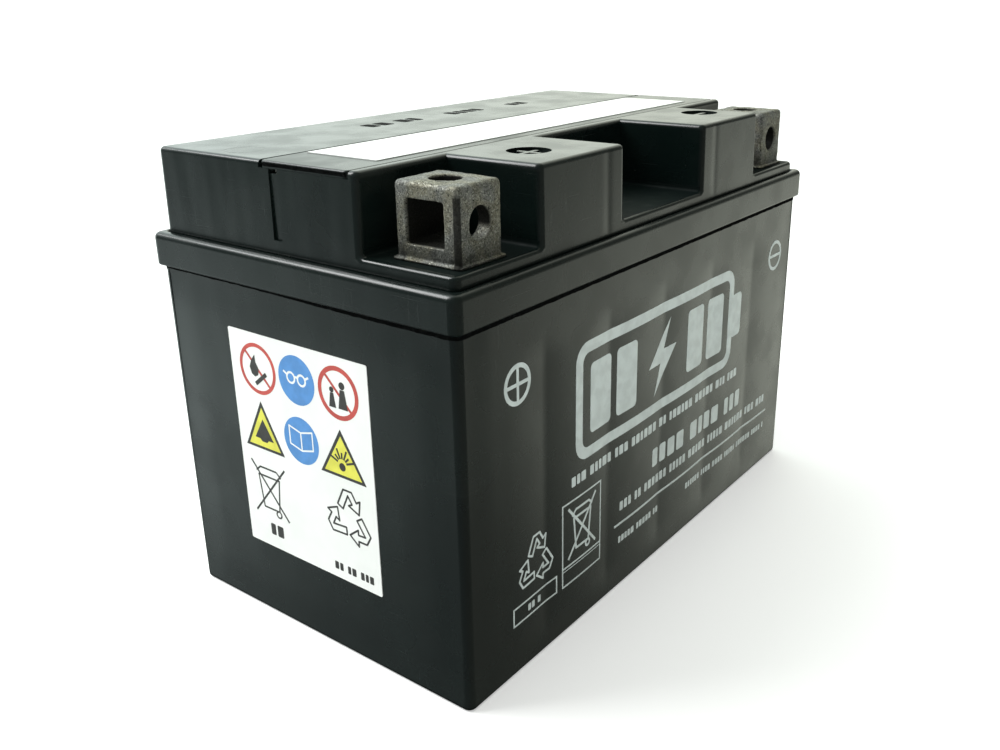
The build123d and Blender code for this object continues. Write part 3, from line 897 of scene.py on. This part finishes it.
def cast_copy(node, seed, material):
    """A lead casting with the node's shape: soft edges, lumps and sand grain as real relief."""
    source = nodes[node]
    work = bpy.data.objects.new(node + "_work", source.data.copy())
    scene.collection.objects.link(work)
    remesh = work.modifiers.new("voxels", "REMESH")
    remesh.mode = "VOXEL"
    remesh.voxel_size = CAST_VOXEL * MM
    smooth = work.modifiers.new("soften", "SMOOTH")
    smooth.iterations = 2
    smooth.factor = 0.5
    bpy.context.view_layer.update()
    graph = bpy.context.evaluated_depsgraph_get()
    mesh = bpy.data.meshes.new_from_object(work.evaluated_get(graph))
    bpy.data.objects.remove(work)
    floor = (LID_LOW.z + 5.5) * MM
    offset = Vector((seed * 7.1, seed * 3.3, seed * 1.7))
    normals = [v.normal.copy() for v in mesh.vertices]
    for vertex, normal in zip(mesh.vertices, normals):
        share = min(1.0, max(0.0, (vertex.co.z - floor) / MM))
        at = vertex.co / MM + offset
        height = CAST_LUMPS * noise.noise(at * 0.45) + CAST_GRAIN * noise.noise(at * 1.9)
        height -= 0.10 * max(0.0, noise.noise(at * 0.9 + offset) - 0.45)
        vertex.co += normal * (height * share * MM)
    mesh.shade_smooth()
    return placed(node + "_casting", mesh, material)


def cast_terminals(material):
    for index, name in enumerate(("terminal_positive", "terminal_negative")):
        piece = cast_copy(name, index + 1, material)
        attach(piece, "case")
        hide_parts(name)


# ---- flash left by moulding and welding, and a painted shadow line under the collar ----
def rounded_loop(half_x, half_y, corner, step):
    """Evenly spaced points with outward directions, round a rectangle with rounded corners."""
    made = []
    x0, y0 = half_x - corner, half_y - corner
    corners = ((x0, y0), (-x0, y0), (-x0, -y0), (x0, -y0))
    for quarter, (x, y) in enumerate(corners):
        start = 90 * quarter
        turn = max(3, round(corner * math.pi / 2 / step))
        for i in range(turn + 1):
            a = math.radians(start + 90 * i / turn)
            out = Vector((math.cos(a), math.sin(a), 0))
            made.append((Vector((x, y, 0)) + out * corner, out))
        following = corners[(quarter + 1) % 4]
        out = Vector((math.cos(math.radians(start + 90)), math.sin(math.radians(start + 90)), 0))
        first = Vector((x, y, 0)) + out * corner
        last = Vector((*following, 0)) + out * corner
        count = max(2, round((last - first).length / step))
        made += [(first.lerp(last, i / count), out) for i in range(1, count)]
    return made


def swept(name, rows, closed, material, body):
    """Closed strip of material through rows of profile points given in millimetres."""
    wide, count = len(rows[0]), len(rows)
    faces = []
    for i in range(count if closed else count - 1):
        a, b = wide * i, wide * ((i + 1) % count)
        faces += [(a + k, b + k, b + (k + 1) % wide, a + (k + 1) % wide) for k in range(wide)]
    if not closed:
        faces += [tuple(reversed(range(wide))), tuple(wide * (count - 1) + k for k in range(wide))]
    mesh = bpy.data.meshes.new(name)
    mesh.from_pydata([p * MM for row in rows for p in row], [], faces)
    tidy = bmesh.new()
    tidy.from_mesh(mesh)
    bmesh.ops.recalc_face_normals(tidy, faces=tidy.faces)
    tidy.to_mesh(mesh)
    tidy.free()
    piece = placed(name, mesh, material)
    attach(piece, body)


def collar_shadow_bead(material):
    """Near-black bead in the corner under the collar, a painted shadow line under its overhang, thinner
    towards the rear of each end.
    """
    rows = []
    for point, out in rounded_loop(CASE_HIGH.x - 1.3, -BODY_FRONT, 1.8, 0.6):
        front = 1.0 if abs(out.y) > 0.5 else 0.25 + 0.75 * smooth_step(-point.y, -18.0, 24.0)
        deep = 0.60 + 0.60 * front + 0.12 * noise.noise(point * 0.5)
        rise = 0.09 + 0.03 * noise.noise(point * 1.3)
        profile = [(-0.3, 0.03), (0.2, 0.03), (rise, -0.4), (rise, 0.12 - deep), (-0.02, -deep),
                   (-0.3, -deep)]
        rows.append([point + out * o + Vector((0, 0, RIM_LOW + z)) for o, z in profile])
    swept("collar_shadow_bead", rows, True, material, "case")


def weld_flash(material):
    """Plastic squeezed up in the gap between the lid and the collar where the two are welded."""
    rows = []
    offset = Vector((22.6, 5.8, 0))
    for point, out in rounded_loop(LID_HIGH.x + 0.15, LID_HIGH.y + 0.15, 1.75, 0.45):
        low = Vector((0, 0, LID_LOW.z))
        rise = 0.5 * max(0.0, noise.noise(point * 0.9 + offset)) + 0.45 * noise.noise(point * 0.13 + offset)
        high = Vector((0, 0, CASE_HIGH.z - 0.75 + rise))
        middle = point + out * 0.05 * noise.noise(point * 1.7 + offset)
        rows.append([middle + out * away + level for away, level in
                     ((-0.1, low), (0.1, low), (0.06, high), (-0.06, high))])
    swept("weld_flash", rows, True, material, "case")


def strip_flash(material):
    """Torn, undercut lips along both ends of the seal strip, where its runners were cut off; their
    near-black, barely reflecting plastic is painted shade for the shadow line under the strip's ends.
    """
    for name, side in (("left", -1), ("right", 1)):
        rows = []
        for i in range(121):
            y = STRIP_LOW.y + 0.5 + (STRIP_HIGH.y - STRIP_LOW.y - 1.4) * i / 120
            fine = noise.noise(Vector((y * 1.9, side, 3.1)))
            broad = noise.noise(Vector((y * 0.35, side, 7.7)))
            reach = 0.22 + 0.10 * fine + 0.06 * broad
            high = STRIP_HIGH.z - 0.38 + 0.12 * fine
            foot = STRIP_HIGH.z - 1.12 - 0.12 * max(0.0, broad)
            profile = [(-0.3, foot), (0.0, foot), (0.04, foot + 0.2), (reach, high - 0.12),
                       (reach - 0.05, high), (-0.3, high)]
            rows.append([Vector((side * (STRIP_HIGH.x + out), y, z)) for out, z in profile])
        swept(f"strip_flash_{name}", rows, False, material, "strip")


# ---- studio ----
EYE = Vector((-192.64, -146.78, 134.59))
LOOK_AZIMUTH = -52.79
LOOK_DOWN = 19.66
ROLL = -0.80
LENS = 35.25
SHIFT = (-0.0222, -0.0325)
FLOOR_HALF = 15.0                   # in metres, like the dome
DOME_RADIUS = 9.0


def make_camera():
    data = bpy.data.cameras.new("camera")
    data.sensor_width = 36.0
    data.lens = LENS
    data.shift_x, data.shift_y = SHIFT
    data.clip_start = 0.01
    camera = bpy.data.objects.new("camera", data)
    scene.collection.objects.link(camera)
    a, e, r = (math.radians(v) for v in (LOOK_AZIMUTH, LOOK_DOWN, ROLL))
    forward = Vector((-math.sin(a) * math.cos(e), math.cos(a) * math.cos(e), -math.sin(e)))
    level = forward.cross(Vector((0, 0, 1))).normalized()
    right = level * math.cos(r) + level.cross(forward) * math.sin(r)
    up = right.cross(forward)
    turn = Matrix((right, up, -forward)).transposed()
    camera.matrix_world = Matrix.Translation(EYE * MM) @ turn.to_4x4()
    scene.camera = camera


class Sky(Tree):
    """Brightness of the surroundings, summed up from broad soft patches."""

    def __init__(self, world):
        super().__init__(world)
        self.direction = self.node("ShaderNodeTexCoord").outputs["Generated"]
        self.height = self.split(self.direction)[2]

    def patch(self, azimuth, height, reach, core, amount):
        """Soft round patch round one compass direction and height, both in degrees."""
        a, h = math.radians(azimuth), math.radians(height)
        dot = self.node("ShaderNodeVectorMath", operation="DOT_PRODUCT")
        dot.inputs[1].default_value = (math.cos(a) * math.cos(h), math.sin(a) * math.cos(h), math.sin(h))
        self.feed(dot.inputs[0], self.direction)
        edge, full = math.cos(math.radians(reach)), math.cos(math.radians(core))
        return self.ramp(dot.outputs["Value"], edge, full, 0.0, amount)


def make_world():
    """Dim room with a pale sweep behind the battery and two pale side panels near the floor."""
    world = bpy.data.worlds.new("studio")
    scene.world = world
    sky = Sky(world)
    low_side = sky.add(sky.patch(-15, -22, 28, 0, 1.30), sky.patch(100, -38, 43, 0, 1.58))
    low_side = sky.times(low_side, sky.ramp(sky.height, -0.60, -0.33, 0.04, 1.0))
    total = sky.add(low_side, sky.patch(57, 36, 69, 19, 1.50), 0.17)
    total = sky.times(total, sky.ramp(sky.height, -0.85, -0.65, 0.06, 1.0))
    warmth = sky.patch(-45, 0, 120, 60, 1.0)
    background = sky.tree.nodes["Background"]
    sky.feed(background.inputs["Color"], sky.mix(warmth, (0.90, 1.03, 1.01), (0.97, 1.02, 0.88)))
    sky.feed(background.inputs["Strength"], total)


def make_light(name, kind, towards, **settings):
    """A light that shines along a direction."""
    data = bpy.data.lights.new(name, kind)
    for key, value in settings.items():
        setattr(data, key, value)
    light = bpy.data.objects.new(name, data)
    scene.collection.objects.link(light)
    light.rotation_euler = towards.normalized().to_track_quat("-Z", "Y").to_euler()
    return light


def make_lights():
    """A pale box high behind the battery, and broad even light with soft shadows."""
    place = Vector((-320, 430, 640))
    key = make_light("key_box", "AREA", Vector((0, 0, 80)) - place, shape="RECTANGLE",
                     size=420 * MM, size_y=420 * MM, energy=5.5)
    key.location = place * MM
    key.visible_camera = False
    fill = make_light("fill_light", "SUN", Vector((0.35, 0.30, -0.90)), angle=math.radians(60), energy=0.9)
    fill.visible_glossy = False


def stage_piece(name, shape, shader, glow):
    """A piece of the studio, which isn't part of the battery."""
    mesh = bpy.data.meshes.new(name)
    shape.to_mesh(mesh)
    shape.free()
    shader.glow(glow)
    piece = placed(name, mesh, shader.material)
    return piece


def make_floor():
    """Plain pale floor with a faint paper grain."""
    shape = bmesh.new()
    bmesh.ops.create_grid(shape, x_segments=24, y_segments=24, size=FLOOR_HALF)
    s = Shader("pale_paper", ior=1.3, specular=0.2)
    s.colour(s.mix(s.noise(0.02, 3.0, seed=5), (0.86, 0.86, 0.855), (0.89, 0.89, 0.885)))
    s.roughness(s.ramp(s.noise(0.4, 2.0, seed=6), 0.3, 0.7, 0.75, 0.9))
    stage_piece("floor", shape, s, 0.35).visible_glossy = False


def make_backdrop():
    """White dome far behind the battery, seen only directly, so that low views end in white too."""
    shape = bmesh.new()
    bmesh.ops.create_uvsphere(shape, u_segments=64, v_segments=32, radius=DOME_RADIUS)
    s = Shader("backdrop_white", ior=1.3, specular=0.0)
    s.colour(s.mix(s.noise(0.001, 2.0, seed=8), (0.5, 0.5, 0.5), (0.52, 0.52, 0.52)))
    dome = stage_piece("backdrop", shape, s, 1.0)
    for kind in ("diffuse", "glossy", "transmission", "volume_scatter", "shadow"):
        setattr(dome, "visible_" + kind, False)


def make_studio():
    make_camera()
    make_world()
    make_floor()
    make_backdrop()
    make_lights()
    scene.view_settings.view_transform = "Standard"


# ---- putting it together ----
def dress_nodes():
    case = black_plastic("case_plastic", 3, sinks=container_sinks)
    cover = black_plastic("lid_plastic", 11, gloss=(0.22, 0.30), sinks=lid_sinks, shade=recess_shade)
    strip = black_plastic("strip_plastic", 23, gloss=(0.26, 0.36))
    film = white_film("label_film", 2)
    lead = plain_lead("strap_lead", 4)
    finishes = {"container": case, "lid": cover, "seal_strip": strip, "strip_label": film, "end_label": film}
    caps = rubber("valve_rubber", 6)
    filters = porous("filter_beads", 7)
    seals = resin("seal_resin", 8)
    positive = pasted_grid("positive_paste", (0.045, 0.022, 0.014), (0.11, 0.058, 0.038), 9)
    negative = pasted_grid("negative_paste", (0.10, 0.105, 0.11), (0.20, 0.205, 0.21), 10)
    mats = glass_mat("glass_mat", 12)
    for pole in ("positive", "negative"):
        finishes[f"terminal_bush_{pole}"] = lead
        finishes[f"post_seal_{pole}"] = seals
        finishes[f"vent_filter_{pole}_end"] = filters
    inner = {"safety_valve": caps, "positive_plates": positive, "negative_plates": negative,
             "separator_mats": mats, "positive_strap": lead, "negative_strap": lead}
    for cell in range(1, CELLS + 1):
        finishes.update({f"{kind}_{cell}": material for kind, material in inner.items()})
    for name, material in finishes.items():
        dress(nodes[name], material)
    return case


def make_battery():
    case = dress_nodes()
    sunk_case(case)
    terminal_lead = cast_lead("terminal_lead", 5)
    cast_terminals(terminal_lead)
    for name in ("terminal_positive", "terminal_negative"):
        dress(nodes[name], terminal_lead)
    weld_flash(case)
    # near-black plastic, painted shade for the shadow lines under the collar and under the strip's ends
    shadow_line = shade_plastic("shadow_line_plastic", 33)
    collar_shadow_bead(shadow_line)
    strip_flash(shadow_line)
    # dark dull marks, painted shade for sunk lettering
    top_marks(shade_plastic("mark_shade_plastic", 35, 0.22))
    front_print(ink("pad_ink", (0.56, 0.62, 0.605), 14))
    end_print({
        "red": ink("red_ink", (0.55, 0.075, 0.06), 15, 0.15),
        "blue": ink("blue_ink", (0.08, 0.27, 0.62), 16, 0.15),
        "yellow": ink("yellow_ink", (0.72, 0.70, 0.08), 17, 0.15),
        "black": ink("black_ink", (0.045, 0.045, 0.042), 18, 0.15),
    })


make_studio()
make_battery()
